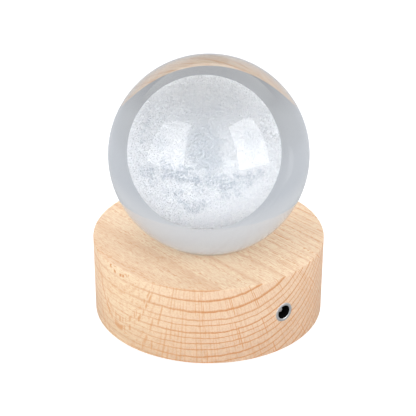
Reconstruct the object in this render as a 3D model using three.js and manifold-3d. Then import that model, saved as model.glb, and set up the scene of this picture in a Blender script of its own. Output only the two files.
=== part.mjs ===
// Crystal ball lamp: a glass ball with a moon engraved inside it, standing in the dished top of
// a turned beech base.
// The base holds a ring of LEDs under a frosted window, and a panel power jack in its side.
// Millimetres, +Z up. The origin is on the table, under the middle of the base.
// The front of the lamp looks along -Y.

import * as THREE from 'three';
import { mergeVertices } from 'three/addons/utils/BufferGeometryUtils.js';
import Module from 'manifold-3d';

const wasm = await Module();
wasm.setup();

// Clearances
const fitGap = 0.3;             // between round faces that seat on each other
const cutOverrun = 1.0;         // how far a cutting body runs past the face it opens

// Crystal ball
const ballRadius = 40.0;
const ballSink = 5.5;           // how deep the ball sits below the top of the base

// Engraved moon: the round zone in the glass whose skin is full of fine white cracks
const moonRadius = 19.9;
const moonAside = 1.25;         // to the left of the ball's centre
const moonRise = 0.7;           // above it
const hairlineRadius = 0.3;     // channel that opens the moon's hollow downwards

// Rubber feet
const footRadius = 5.0;
const footHeight = 1.5;
const footInset = 9.0;          // from the cover's edge to a foot's middle
const footCount = 4;
const footEdgeBreak = 0.4;

// Turned beech base
const baseRadius = 47.1;
const baseHeight = 33.2;
const baseEdgeBreak = 0.3;
const rimWall = 6.8;            // wood outside the cover
const coverLip = 7.3;           // step in the wood that the cover lies on
const lightWellRadius = 11.0;

// Bottom cover
const coverThickness = 2.0;
const coverEdgeBreak = 0.4;
const coverRibInset = 8.0;      // from the pocket's wall to the middle of the rib
const coverRibHeight = 1.2;
const coverRibWidth = 1.6;

// Frosted light window
const windowLedge = 1.7;        // how far the window reaches past the light well
const windowThickness = 2.0;
const windowEdgeBreak = 0.3;
const windowBallGap = 0.8;      // between the window and the bottom of the ball

// LED board and what stands on it
const boardLap = 9.0;           // width of board that lies against the wood
const boardThickness = 1.6;
const ledSize = 5.0;
const ledHeight = 1.4;
const ledSpacing = 0.65;        // between the inner corners of two neighbours
const ledCornerCut = 0.9;
const ledDishRadius = 1.9;
const ledDishDepth = 0.35;
const ledCount = 6;
const resistorLength = 6.3;
const resistorWidth = 3.1;
const resistorHeight = 0.6;
const resistorCapLength = 0.9;
const resistorCapStep = 0.08;
const resistorOffset = 6.0;

// Pan-head screws that hold the board
const boardScrewCount = 3;
const boardScrewRadius = 1.25;
const boardScrewLength = 8.0;
const boardScrewHeadRadius = 2.3;
const boardScrewHeadHeight = 1.5;
const boardScrewCrownRadius = 1.4;

// Countersunk screws that hold the cover
const coverScrewCount = 3;
const coverScrewRadius = 1.4;
const coverScrewLength = 10.0;
const coverScrewHeadRadius = 2.4;
const coverScrewHeadHeight = 1.1;

// Shared screw details
const screwTipLength = 1.6;
const recessWidth = 0.6;
const recessSpan = 2.8;
const recessDepth = 0.7;

// Power jack, 5.5 mm by 2.1 mm, along its own axis from its outer face inwards
const jackAzimuth = THREE.MathUtils.degToRad(38.6);
const jackCeilingGap = 0.1;     // between the jack's seat in the wood and the pocket's ceiling
const jackProud = 0.25;         // outer face past the curved side of the base
const barrelBoreRadius = 2.78;
const barrelWall = 1.22;
const barrelLength = 7.5;
const barrelChamfer = 0.3;
const flangeStep = 1.5;
const flangeThickness = 1.8;
const housingWall = 1.42;
const housingLength = 9.0;
const housingBackThickness = 4.6;
const pinRadius = 1.0;
const pinSetback = 2.0;         // tip of the pin behind the outer face
const pinTipRound = 0.35;
const tagThickness = 0.4;
const tagLength = 2.4;
const leafWidth = 2.0;
const leafThickness = 0.4;
const leafRootLength = 2.6;     // straight part of the leaf, behind the end of the bore
const leafSlope = 1.3;          // along the jack, from the straight part to the bend
const leafTipReach = 1.2;       // along the jack, from the bend to the tip
const leafDip = 0.5;            // how far the bend reaches into the bore
const leafTipRise = 0.35;

// Leads
const wireRadius = 0.65;
const wireSides = 8;
const wireSteps = 22;
const wirePadInset = 7.5;       // from the board's edge to the solder pads
const wirePadSpread = 4.0;      // between the two solder pads
const wireSlack = 3.2;          // how far the leads hang below the jack's tags
const wireLeadIn = 2.0;         // straight start at each soldered end

// Facets
const ballSegments = 60;
const ballRings = 30;
const moonDetail = 3;           // how often each side of an icosahedron is divided
const hairlineSegments = 6;
const baseSegments = 80;
const discSegments = 60;
const jackSegments = 40;
const smallSegments = 20;
const seatSteps = 8;

// Heights that follow, from the table up and from the ball down
const woodBottomZ = footHeight;
const woodTopZ = woodBottomZ + baseHeight;
const rebateZ = woodBottomZ + coverThickness;
const ballBottomZ = woodTopZ - ballSink;
const ballCentreZ = ballBottomZ + ballRadius;
const windowTopZ = ballBottomZ - windowBallGap;
const windowBottomZ = windowTopZ - windowThickness;
const pocketCeilingZ = windowBottomZ - fitGap - ledHeight;
const boardBottomZ = pocketCeilingZ - boardThickness;

// Radii that follow, from the outside of the base inwards and from the light well outwards
const coverRebateRadius = baseRadius - rimWall;
const coverRadius = coverRebateRadius - fitGap;
const pocketRadius = coverRebateRadius - coverLip;
const coverScrewCircleRadius = pocketRadius + coverLip / 2;
const coverRibRadius = pocketRadius - coverRibInset;
const footCircleRadius = coverRadius - footInset;
const seatRadius = ballRadius + fitGap;
const windowRadius = lightWellRadius + windowLedge;
const windowRecessRadius = windowRadius + fitGap;
const boardRadius = windowRecessRadius + boardLap;
const boardScrewCircleRadius = windowRecessRadius + boardLap / 2;
const wirePadRadius = boardRadius - wirePadInset;
const ledInnerRadius = (ledSize + ledSpacing) / 2 / Math.tan(Math.PI / ledCount);
const ledCircleRadius = ledInnerRadius + ledSize / 2;

// Radii and places of the jack that follow
const barrelRadius = barrelBoreRadius + barrelWall;
const flangeRadius = barrelRadius + flangeStep;
const housingRadius = barrelBoreRadius + housingWall;
const jackHoleRadius = barrelRadius + fitGap;
const jackSeatRadius = flangeRadius + fitGap;
const jackZ = pocketCeilingZ - jackCeilingGap - jackSeatRadius;
const jackFaceRadius = baseRadius + jackProud;

// Finishes
const finishes = {
  crystal: { color: 0xf4f7f8, roughness: 0.02, metalness: 0.0 },
  engraving: { color: 0xe4eaef, roughness: 0.85, metalness: 0.0 },
  beech: { color: 0xe3c29b, roughness: 0.62, metalness: 0.0 },
  nickel: { color: 0xc9cbcc, roughness: 0.22, metalness: 1.0 },
  blackPlastic: { color: 0x17181a, roughness: 0.48, metalness: 0.0 },
  springBrass: { color: 0xc9a45c, roughness: 0.3, metalness: 1.0 },
  opal: { color: 0xf3f4f2, roughness: 0.55, metalness: 0.0 },
  board: { color: 0xeef0ec, roughness: 0.45, metalness: 0.0 },
  ledBody: { color: 0xf6f3df, roughness: 0.4, metalness: 0.0 },
  resistor: { color: 0x202124, roughness: 0.5, metalness: 0.0 },
  steel: { color: 0xb4b6b8, roughness: 0.32, metalness: 1.0 },
  wireRed: { color: 0xb3221c, roughness: 0.45, metalness: 0.0 },
  wireBlack: { color: 0x1a1a1b, roughness: 0.45, metalness: 0.0 },
  rubber: { color: 0x2a2a2b, roughness: 0.85, metalness: 0.0 },
};

const lamp = new THREE.Group();

// Solids are cut and joined in the lamp's frame, and come back as plain geometry.
function toSolid(geometry, matrix = new THREE.Matrix4()) {
  const bare = geometry.clone().applyMatrix4(matrix);
  bare.deleteAttribute('normal');
  bare.deleteAttribute('uv');
  const merged = mergeVertices(bare);
  const corners = merged.index
    ? merged.index.array
    : Array.from({ length: merged.attributes.position.count }, (_, i) => i);
  return new wasm.Manifold(new wasm.Mesh({
    numProp: 3,
    vertProperties: new Float32Array(merged.attributes.position.array),
    triVerts: new Uint32Array(corners),
  }));
}

function toGeometry(solid) {
  const mesh = solid.getMesh();
  const geometry = new THREE.BufferGeometry();
  geometry.setAttribute('position', new THREE.BufferAttribute(mesh.vertProperties, 3));
  geometry.setIndex(new THREE.BufferAttribute(mesh.triVerts, 1));
  geometry.computeVertexNormals();
  return geometry;
}

function addPiece(parent, name, geometry, finish) {
  const piece = new THREE.Mesh(geometry, new THREE.MeshStandardMaterial(finishes[finish]));
  piece.name = name;
  parent.add(piece);
  return piece;
}

// A profile of [radius, height] points turned about the vertical axis.
function turned(profile, segments) {
  const points = profile.map(([radius, height]) => new THREE.Vector2(radius, height));
  return new THREE.LatheGeometry(points, segments).rotateX(Math.PI / 2);
}

// A plain cylinder that stands on the height z.
function rod(radius, z, height, segments) {
  const cylinder = new THREE.CylinderGeometry(radius, radius, height, segments);
  return cylinder.rotateX(Math.PI / 2).translate(0, 0, z + height / 2);
}

function onCircle(radius, angle, z) {
  return new THREE.Vector3(radius * Math.cos(angle), radius * Math.sin(angle), z);
}

function turnedTo(angle, place) {
  const matrix = new THREE.Matrix4().makeRotationZ(angle);
  return matrix.setPosition(place);
}

// The jack's own frame: +Z out of the base along the jack, +Y up, the origin in its outer face.
const jackFrame = new THREE.Group();
jackFrame.rotation.set(Math.PI / 2, 0, jackAzimuth, 'ZYX');
jackFrame.position.set(
  jackFaceRadius * Math.sin(jackAzimuth),
  -jackFaceRadius * Math.cos(jackAzimuth),
  jackZ,
);
jackFrame.updateMatrix();
lamp.add(jackFrame);

// Where the screws and feet stand around the base, measured from +X.
const boardScrewAngles = evenAngles(boardScrewCount, Math.PI / 2);
const coverScrewAngles = evenAngles(coverScrewCount, Math.PI / 2);
const footAngles = evenAngles(footCount, Math.PI / footCount);
const ledAngles = evenAngles(ledCount, 0);

function evenAngles(count, first) {
  return Array.from({ length: count }, (_, i) => first + (i * 2 * Math.PI) / count);
}

// Crystal ball: ground and polished all over, with no flat. The moon lies in the middle of the
// glass, in a hollow of its own shape that a hairline channel opens at the foot of the ball.
const moonPlace = new THREE.Vector3(-moonAside, 0, ballCentreZ + moonRise);

function moonBall(radius) {
  return new THREE.IcosahedronGeometry(radius, moonDetail);
}

function glassWithHollow() {
  const ball = new THREE.SphereGeometry(ballRadius, ballSegments, ballRings);
  ball.rotateX(Math.PI / 2).translate(0, 0, ballCentreZ);
  const inMoon = new THREE.Matrix4().setPosition(moonPlace);
  const channelLength = ballRadius + moonRise + cutOverrun;
  const channel = rod(hairlineRadius, -channelLength, channelLength, hairlineSegments);
  return toSolid(ball)
    .subtract(toSolid(moonBall(moonRadius + fitGap), inMoon))
    .subtract(toSolid(channel, inMoon));
}

addPiece(lamp, 'crystal_ball', toGeometry(glassWithHollow()), 'crystal');
addPiece(lamp, 'engraved_moon', moonBall(moonRadius), 'engraving').position.copy(moonPlace);

// Beech base: turned outside, dished on top to the ball's curve, and bored from below.
function seatArc() {
  const from = Math.acos((ballCentreZ - woodTopZ) / seatRadius);
  const to = Math.asin(lightWellRadius / seatRadius);
  return Array.from({ length: seatSteps + 1 }, (_, i) => {
    const angle = from + ((to - from) * i) / seatSteps;
    return [seatRadius * Math.sin(angle), ballCentreZ - seatRadius * Math.cos(angle)];
  });
}

const baseProfile = [
  [coverRebateRadius, woodBottomZ],
  [baseRadius - baseEdgeBreak, woodBottomZ],
  [baseRadius, woodBottomZ + baseEdgeBreak],
  [baseRadius, woodTopZ - baseEdgeBreak],
  [baseRadius - baseEdgeBreak, woodTopZ],
  ...seatArc(),
  [lightWellRadius, windowTopZ],
  [windowRecessRadius, windowTopZ],
  [windowRecessRadius, pocketCeilingZ],
  [pocketRadius, pocketCeilingZ],
  [pocketRadius, rebateZ],
  [coverRebateRadius, rebateZ],
  [coverRebateRadius, woodBottomZ],
];

const boardPilotDepth = boardScrewLength - boardThickness + fitGap;
const coverPilotDepth = coverScrewLength - coverThickness + fitGap;

function pilotHole(radius, depth) {
  return rod(radius, -cutOverrun, depth + cutOverrun, smallSegments);
}

function baseCuts() {
  const cuts = [];
  const boardPilot = pilotHole(boardScrewRadius + fitGap, boardPilotDepth);
  for (const angle of boardScrewAngles) {
    const place = onCircle(boardScrewCircleRadius, angle, pocketCeilingZ);
    cuts.push(toSolid(boardPilot, turnedTo(angle, place)));
  }
  const coverPilot = pilotHole(coverScrewRadius + fitGap, coverPilotDepth);
  for (const angle of coverScrewAngles) {
    const place = onCircle(coverScrewCircleRadius, angle, rebateZ);
    cuts.push(toSolid(coverPilot, turnedTo(angle, place)));
  }
  const throughLength = barrelLength + 2 * cutOverrun;
  const through = rod(jackHoleRadius, -barrelLength - cutOverrun, throughLength, jackSegments);
  cuts.push(toSolid(through, jackFrame.matrix));
  const seatDepth = jackFaceRadius - barrelLength - pocketRadius + cutOverrun;
  const seat = rod(jackSeatRadius, -barrelLength - seatDepth, seatDepth, jackSegments);
  cuts.push(toSolid(seat, jackFrame.matrix));
  return cuts;
}

let baseSolid = toSolid(turned(baseProfile, baseSegments));
for (const cut of baseCuts()) {
  baseSolid = baseSolid.subtract(cut);
}
addPiece(lamp, 'wood_base', toGeometry(baseSolid), 'beech');

// Frosted window: glued up against its ledge, just below the ball.
const windowProfile = [
  [0, windowBottomZ],
  [windowRadius - windowEdgeBreak, windowBottomZ],
  [windowRadius, windowBottomZ + windowEdgeBreak],
  [windowRadius, windowTopZ - windowEdgeBreak],
  [windowRadius - windowEdgeBreak, windowTopZ],
  [0, windowTopZ],
];
addPiece(lamp, 'light_window', turned(windowProfile, discSegments), 'opal');

// LED board: its rim lies against the pocket's ceiling, round the window's recess.
function circlePath(radius, x, y) {
  const path = new THREE.Path();
  path.absarc(x, y, radius, 0, 2 * Math.PI, true);
  return path;
}

const boardShape = new THREE.Shape();
boardShape.absarc(0, 0, boardRadius, 0, 2 * Math.PI, false);
for (const angle of boardScrewAngles) {
  const { x, y } = onCircle(boardScrewCircleRadius, angle, 0);
  boardShape.holes.push(circlePath(boardScrewRadius + fitGap, x, y));
}
const boardGeometry = new THREE.ExtrudeGeometry(boardShape, {
  depth: boardThickness,
  bevelEnabled: false,
  curveSegments: smallSegments,
});
addPiece(lamp, 'led_board', boardGeometry, 'board').position.set(0, 0, boardBottomZ);

// LEDs: square packages with one corner cut to mark the cathode and a round dish on top.
function ledGeometry() {
  const half = ledSize / 2;
  const shape = new THREE.Shape();
  shape.moveTo(-half, -half);
  shape.lineTo(half, -half);
  shape.lineTo(half, half - ledCornerCut);
  shape.lineTo(half - ledCornerCut, half);
  shape.lineTo(-half, half);
  shape.closePath();
  const block = new THREE.ExtrudeGeometry(shape, { depth: ledHeight, bevelEnabled: false });
  const dish = rod(ledDishRadius, ledHeight - ledDishDepth, ledDishDepth + cutOverrun, smallSegments);
  return toGeometry(toSolid(block).subtract(toSolid(dish)));
}

const ledShape = ledGeometry();
ledAngles.forEach((angle, i) => {
  const led = addPiece(lamp, `led_${i + 1}`, ledShape.clone(), 'ledBody');
  led.position.copy(onCircle(ledCircleRadius, angle, pocketCeilingZ));
  led.rotation.z = angle;
});

// Resistors: flat chips on the board's lower face, with a raised metal cap round each end.
function resistorGeometry() {
  const half = resistorLength / 2;
  const neck = half - resistorCapLength;
  const shape = new THREE.Shape();
  shape.moveTo(-half, 0);
  shape.lineTo(half, 0);
  shape.lineTo(half, -resistorHeight);
  shape.lineTo(neck, -resistorHeight);
  shape.lineTo(neck, -resistorHeight + resistorCapStep);
  shape.lineTo(-neck, -resistorHeight + resistorCapStep);
  shape.lineTo(-neck, -resistorHeight);
  shape.lineTo(-half, -resistorHeight);
  shape.closePath();
  const chip = new THREE.ExtrudeGeometry(shape, { depth: resistorWidth, bevelEnabled: false });
  return chip.translate(0, 0, -resistorWidth / 2).rotateX(Math.PI / 2);
}

[-1, 1].forEach((side, i) => {
  const resistor = addPiece(lamp, `resistor_${i + 1}`, resistorGeometry(), 'resistor');
  resistor.position.set(0, side * resistorOffset, boardBottomZ);
});

// Screws: the shank stands on +Z from the face that the head bears on.
function crossRecess(bottomZ) {
  const height = recessDepth + cutOverrun;
  const lift = bottomZ + recessDepth - height / 2;
  const along = new THREE.BoxGeometry(recessSpan, recessWidth, height).translate(0, 0, lift);
  const across = new THREE.BoxGeometry(recessWidth, recessSpan, height).translate(0, 0, lift);
  return toSolid(along).add(toSolid(across));
}

function screwGeometry(headProfile, shankRadius, length, headBottomZ) {
  const profile = [
    ...headProfile,
    [shankRadius, length - screwTipLength],
    [0, length],
  ];
  return toGeometry(toSolid(turned(profile, smallSegments)).subtract(crossRecess(headBottomZ)));
}

const panHead = [
  [0, -boardScrewHeadHeight],
  [boardScrewCrownRadius, -boardScrewHeadHeight],
  [boardScrewHeadRadius, -boardScrewHeadHeight / 2],
  [boardScrewHeadRadius, 0],
  [boardScrewRadius, 0],
];
const panScrewShape = screwGeometry(
  panHead, boardScrewRadius, boardScrewLength, -boardScrewHeadHeight,
);
boardScrewAngles.forEach((angle, i) => {
  const screw = addPiece(lamp, `board_screw_${i + 1}`, panScrewShape.clone(), 'steel');
  screw.position.copy(onCircle(boardScrewCircleRadius, angle, boardBottomZ));
});

const countersunkHead = [
  [0, 0],
  [coverScrewHeadRadius, 0],
  [coverScrewRadius, coverScrewHeadHeight],
];
const countersunkShape = screwGeometry(countersunkHead, coverScrewRadius, coverScrewLength, 0);
coverScrewAngles.forEach((angle, i) => {
  const screw = addPiece(lamp, `cover_screw_${i + 1}`, countersunkShape.clone(), 'steel');
  screw.position.copy(onCircle(coverScrewCircleRadius, angle, woodBottomZ));
});

// Bottom cover: a moulded disc flush with the wood, with a stiffening rib inside.
const ribOuterRadius = coverRibRadius + coverRibWidth / 2;
const ribInnerRadius = coverRibRadius - coverRibWidth / 2;
const coverProfile = [
  [0, woodBottomZ],
  [coverRadius - coverEdgeBreak, woodBottomZ],
  [coverRadius, woodBottomZ + coverEdgeBreak],
  [coverRadius, rebateZ],
  [ribOuterRadius, rebateZ],
  [ribOuterRadius, rebateZ + coverRibHeight],
  [ribInnerRadius, rebateZ + coverRibHeight],
  [ribInnerRadius, rebateZ],
  [0, rebateZ],
];

function countersinkCut() {
  const wide = coverScrewHeadRadius + fitGap;
  const narrow = coverScrewRadius + fitGap;
  return turned([
    [0, -cutOverrun],
    [wide, -cutOverrun],
    [wide, 0],
    [narrow, coverScrewHeadHeight],
    [narrow, coverThickness + cutOverrun],
    [0, coverThickness + cutOverrun],
  ], smallSegments);
}

let coverSolid = toSolid(turned(coverProfile, discSegments));
for (const angle of coverScrewAngles) {
  const place = onCircle(coverScrewCircleRadius, angle, woodBottomZ);
  coverSolid = coverSolid.subtract(toSolid(countersinkCut(), turnedTo(angle, place)));
}
addPiece(lamp, 'bottom_cover', toGeometry(coverSolid), 'blackPlastic');

// Feet: round rubber pads stuck to the cover, which carry the lamp.
const footProfile = [
  [0, 0],
  [footRadius - footEdgeBreak, 0],
  [footRadius, footEdgeBreak],
  [footRadius, footHeight],
  [0, footHeight],
];
footAngles.forEach((angle, i) => {
  const foot = addPiece(lamp, `foot_${i + 1}`, turned(footProfile, smallSegments), 'rubber');
  foot.position.copy(onCircle(footCircleRadius, angle, 0));
});

// Power jack barrel: glued into the stepped hole from inside, its flange on the step.
const flangeFrontZ = -barrelLength;
const flangeBackZ = flangeFrontZ - flangeThickness;
const barrelProfile = [
  [barrelBoreRadius, flangeBackZ],
  [flangeRadius, flangeBackZ],
  [flangeRadius, flangeFrontZ],
  [barrelRadius, flangeFrontZ],
  [barrelRadius, 0],
  [barrelBoreRadius + barrelChamfer, 0],
  [barrelBoreRadius, -barrelChamfer],
  [barrelBoreRadius, flangeBackZ],
];
addPiece(jackFrame, 'jack_bushing', turned(barrelProfile, jackSegments), 'nickel');

// Insulator: carries on the barrel's bore, then closes behind it round the pin.
// A slot along its top lets the contact leaf reach into the bore.
const housingFrontZ = flangeBackZ - fitGap;
const housingBackZ = housingFrontZ - housingLength;
const boreEndZ = housingBackZ + housingBackThickness;
const pinHoleRadius = pinRadius + fitGap;
const housingProfile = [
  [pinHoleRadius, housingBackZ],
  [housingRadius, housingBackZ],
  [housingRadius, housingFrontZ],
  [barrelBoreRadius, housingFrontZ],
  [barrelBoreRadius, boreEndZ],
  [pinHoleRadius, boreEndZ],
  [pinHoleRadius, housingBackZ],
];
const slotFloorY = barrelBoreRadius;
const slotHalfWidth = leafWidth / 2 + fitGap;

function slotCut(floorY, fromZ, toZ) {
  const height = housingRadius - floorY + cutOverrun;
  const slot = new THREE.BoxGeometry(2 * slotHalfWidth, height, toZ - fromZ);
  return toSolid(slot.translate(0, floorY + height / 2, (fromZ + toZ) / 2));
}

const housingSolid = toSolid(turned(housingProfile, jackSegments))
  .subtract(slotCut(slotFloorY, housingBackZ - cutOverrun, boreEndZ))
  .subtract(slotCut(0, boreEndZ, housingFrontZ + cutOverrun));
addPiece(jackFrame, 'jack_housing', toGeometry(housingSolid), 'blackPlastic');

// Centre pin: runs through the insulator, and its tail is the solder tag behind.
const pinTipZ = -pinSetback;
const pinTailZ = housingBackZ - tagLength;
const pinProfile = [
  [0, pinTailZ],
  [pinRadius, pinTailZ],
  [pinRadius, pinTipZ - pinTipRound],
  [pinRadius - pinTipRound, pinTipZ],
  [0, pinTipZ],
];
addPiece(jackFrame, 'jack_pin', turned(pinProfile, smallSegments), 'nickel');

// Strips of the sleeve contact: an outline in the jack's upright plane, as wide as the leaf.
function strip(points) {
  const shape = new THREE.Shape(points.map(([z, y]) => new THREE.Vector2(z, y)));
  const plate = new THREE.ExtrudeGeometry(shape, { depth: leafWidth, bevelEnabled: false });
  return plate.translate(0, 0, -leafWidth / 2).rotateY(-Math.PI / 2);
}

// Contact leaf: lies along the slot, dips into the bore at its bend and lifts at the tip.
const leafRootZ = boreEndZ - leafRootLength;
const leafShoulderZ = boreEndZ + fitGap;
const leafBendZ = leafShoulderZ + leafSlope;
const leafTipZ = leafBendZ + leafTipReach;
const leafRootY = slotFloorY + fitGap;
const leafBendY = barrelBoreRadius - leafDip;
const leafTipY = leafBendY + leafTipRise;
addPiece(jackFrame, 'sleeve_leaf', strip([
  [leafRootZ, leafRootY],
  [leafShoulderZ, leafRootY],
  [leafBendZ, leafBendY],
  [leafTipZ, leafTipY],
  [leafTipZ, leafTipY + leafThickness],
  [leafBendZ, leafBendY + leafThickness],
  [leafShoulderZ, leafRootY + leafThickness],
  [leafRootZ, leafRootY + leafThickness],
]), 'springBrass');

// Sleeve tag: the fixed root of the leaf, lying in the slot and standing out behind.
const tagFrontZ = leafRootZ - fitGap;
const tagBackZ = housingBackZ - tagLength;
addPiece(jackFrame, 'sleeve_tag', strip([
  [tagBackZ, leafRootY],
  [tagFrontZ, leafRootY],
  [tagFrontZ, leafRootY + tagThickness],
  [tagBackZ, leafRootY + tagThickness],
]), 'springBrass');

// Leads: from the jack's tags down into the pocket and up to the board's solder pads.
function tubeAlong(points) {
  const section = new THREE.Shape();
  const corners = Array.from({ length: wireSides }, (_, i) => {
    const angle = (i * 2 * Math.PI) / wireSides;
    return new THREE.Vector2(wireRadius * Math.cos(angle), wireRadius * Math.sin(angle));
  });
  section.setFromPoints(corners);
  const route = new THREE.CatmullRomCurve3(points, false, 'centripetal');
  return new THREE.ExtrudeGeometry(section, {
    steps: wireSteps,
    bevelEnabled: false,
    extrudePath: route,
  });
}

function inLamp(x, y, z) {
  return new THREE.Vector3(x, y, z).applyMatrix4(jackFrame.matrix);
}

const inwards = inLamp(0, 0, -1).sub(inLamp(0, 0, 0));
const sideways = inLamp(1, 0, 0).sub(inLamp(0, 0, 0));

function leadRoute(tagEnd, side) {
  const pad = new THREE.Vector3(0, 0, boardBottomZ - fitGap);
  pad.addScaledVector(inwards, -wirePadRadius);
  pad.addScaledVector(sideways, (side * wirePadSpread) / 2);
  const leave = tagEnd.clone().addScaledVector(inwards, wireLeadIn);
  const low = tagEnd.clone().lerp(pad, 0.5);
  low.z = Math.min(tagEnd.z, pad.z) - wireSlack;
  const under = pad.clone();
  under.z -= wireLeadIn;
  return [tagEnd, leave, low, under, pad];
}

const pinTagEnd = inLamp(0, 0, pinTailZ - fitGap);
const sleeveTagEnd = inLamp(0, leafRootY + tagThickness / 2, tagBackZ - fitGap);
addPiece(lamp, 'wire_red', tubeAlong(leadRoute(pinTagEnd, -1)), 'wireRed');
addPiece(lamp, 'wire_black', tubeAlong(leadRoute(sleeveTagEnd, 1)), 'wireBlack');

export default lamp;
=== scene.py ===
import math
import bmesh
import bpy
from mathutils import Matrix, Vector


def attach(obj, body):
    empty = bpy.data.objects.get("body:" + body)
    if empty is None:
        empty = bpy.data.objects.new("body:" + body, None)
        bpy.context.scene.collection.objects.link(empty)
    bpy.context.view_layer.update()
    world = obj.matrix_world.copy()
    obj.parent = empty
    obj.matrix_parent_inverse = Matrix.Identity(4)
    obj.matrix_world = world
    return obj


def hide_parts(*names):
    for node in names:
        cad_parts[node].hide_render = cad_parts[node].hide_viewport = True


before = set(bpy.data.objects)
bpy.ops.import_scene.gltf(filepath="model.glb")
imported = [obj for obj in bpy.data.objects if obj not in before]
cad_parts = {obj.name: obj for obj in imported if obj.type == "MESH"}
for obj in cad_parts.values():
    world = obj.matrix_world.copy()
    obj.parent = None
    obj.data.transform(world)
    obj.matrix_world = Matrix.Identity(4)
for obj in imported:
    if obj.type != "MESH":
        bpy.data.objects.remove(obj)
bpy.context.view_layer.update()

# A crystal ball lamp: a solid glass ball with a moon engraved inside, on a turned beech base.
# Lengths are in millimetres until a mesh is placed; the scene itself is in metres.
MM = 0.001


# Camera: a long lens, a little above the lamp, turned to its front.
# The distances are those of a product table in a small studio.
camera_tilt = math.radians(27.386)       # looking down
camera_roll = math.radians(0.17)
camera_distance = 530.0
aim_point = Vector((-0.265, 0.0, 45.32))
photo_width = 416
lens_in_pixels = 1305.67
sensor_width = 36.0

camera_data = bpy.data.cameras.new("camera")
camera_data.sensor_width = sensor_width
camera_data.lens = lens_in_pixels / photo_width * sensor_width
camera_data.clip_start = 0.01
camera_data.clip_end = 20.0
camera = bpy.data.objects.new("camera", camera_data)
bpy.context.scene.collection.objects.link(camera)
look_along = Vector((0.0, math.cos(camera_tilt), -math.sin(camera_tilt)))
camera.matrix_world = (
    Matrix.Translation((aim_point - look_along * camera_distance) * MM)
    @ Matrix.Rotation(math.pi / 2 - camera_tilt, 4, "X")
    @ Matrix.Rotation(camera_roll, 4, "Z")
)
bpy.context.scene.camera = camera
bpy.context.scene.view_settings.view_transform = "Standard"


# Studio: a white table that runs out of sight, and a grey tent around it.
# The tent stands outside the picture and gives the clear glass its grey edge.
table_half_width = 4000.0
table_white = (0.90, 0.90, 0.90, 1.0)
table_glow = 0.86                        # of white, where the table itself is seen
table_shade_share = 0.34                 # how strongly a shadow shows on it
tent_radius = 1500.0
tent_floor_radius = 1480.0
tent_floor_lift = 0.2
tent_steps, tent_rows = 48, 12           # panels round the tent, and from its foot to its top
tent_greys = [                           # from the horizon to overhead
    (0.0, (0.685, 0.720, 0.780, 1.0)), (0.22, (0.840, 0.862, 0.900, 1.0)),
    (0.50, (0.760, 0.771, 0.790, 1.0)), (1.0, (0.715, 0.721, 0.738, 1.0)),
]
# Near the lamp the tent floor is painted darker: a painted shadow of the lamp on the floor.
tent_floor_greys_with_painted_shadow = [                     # by distance from the lamp, in metres
    (0.055, (0.320, 0.328, 0.345, 1.0)), (0.100, (0.595, 0.618, 0.650, 1.0)),
    (0.20, (0.680, 0.712, 0.764, 1.0)), (0.60, (0.680, 0.715, 0.773, 1.0)),
]
surfaces_from_inside = 3.0               # light in the glass has met fewer surfaces than this
room_grey = (0.50, 0.515, 0.53, 1.0)     # what the room gives to surfaces
room_white = (1.0, 1.0, 1.0, 1.0)        # and how it is seen

# What the tent and its floor give to what lies in the glass, as a multiple of their greys:
# all round, and how much more on the camera's side and overhead.
tent_light_round, tent_light_in_front, tent_light_above = 0.38, 0.30, 2.90
floor_light_round, floor_light_in_front = 3.5, 8.6


def put(tree, kind, inputs=None, **settings):
    """Adds one node, sets it, and joins or fills the inputs named."""
    made = tree.nodes.new(kind)
    for name, value in settings.items():
        setattr(made, name, value)
    for socket, value in (inputs or {}).items():
        if isinstance(value, bpy.types.NodeSocket):
            tree.links.new(value, made.inputs[socket])
        else:
            made.inputs[socket].default_value = value
    return made


def blank_material(name):
    material = bpy.data.materials.new(name)
    material.use_nodes = True
    material.node_tree.nodes.clear()
    return material, material.node_tree


def show(tree, shader):
    put(tree, "ShaderNodeOutputMaterial", {"Surface": shader.outputs[0]})


def maths(tree, operation, *values, clamp=False):
    return put(
        tree, "ShaderNodeMath", dict(enumerate(values)), operation=operation, use_clamp=clamp
    ).outputs[0]


def background_rays(tree):
    """1 where a ray looks for the background, straight, in a reflection or through glass."""
    path = put(tree, "ShaderNodeLightPath").outputs
    seen = maths(tree, "ADD", path["Is Camera Ray"], path["Is Glossy Ray"])
    return maths(tree, "ADD", seen, path["Is Transmission Ray"], clamp=True)


def paint(tree, colour_stops, factor):
    """A colour ramp with its stops, as pairs of place and colour."""
    ramp_node = put(tree, "ShaderNodeValToRGB", {"Fac": factor})
    elements = ramp_node.color_ramp.elements
    while len(elements) < len(colour_stops):
        elements.new(0.5)
    for element, (place, colour) in zip(elements, colour_stops):
        element.position = place
        element.color = colour
    return ramp_node.outputs["Color"]


def lighting_in_glass(tree):
    """1 where a ray looks for light for a matt surface that lies in the glass."""
    path = put(tree, "ShaderNodeLightPath").outputs
    looks_for_light = maths(tree, "MINIMUM", path["Diffuse Depth"], 1.0)
    in_glass = maths(tree, "LESS_THAN", path["Transmission Depth"], surfaces_from_inside)
    return maths(tree, "MULTIPLY", looks_for_light, in_glass)


def tent_strength(tree, lighting):
    """The tent's strength: 1 where it is seen, and its lighting for what lies in the glass."""
    return maths(
        tree, "MULTIPLY_ADD", lighting_in_glass(tree), maths(tree, "SUBTRACT", lighting, 1.0), 1.0
    )


def mesh_object(name, points, faces, place=Matrix.Identity(4)):
    """A mesh object at the origin, from points in millimetres."""
    mesh = bpy.data.meshes.new(name)
    mesh.from_pydata([(place @ Vector(p)) * MM for p in points], [], faces)
    mesh.update()
    made = bpy.data.objects.new(name, mesh)
    bpy.context.scene.collection.objects.link(made)
    return made


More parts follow.
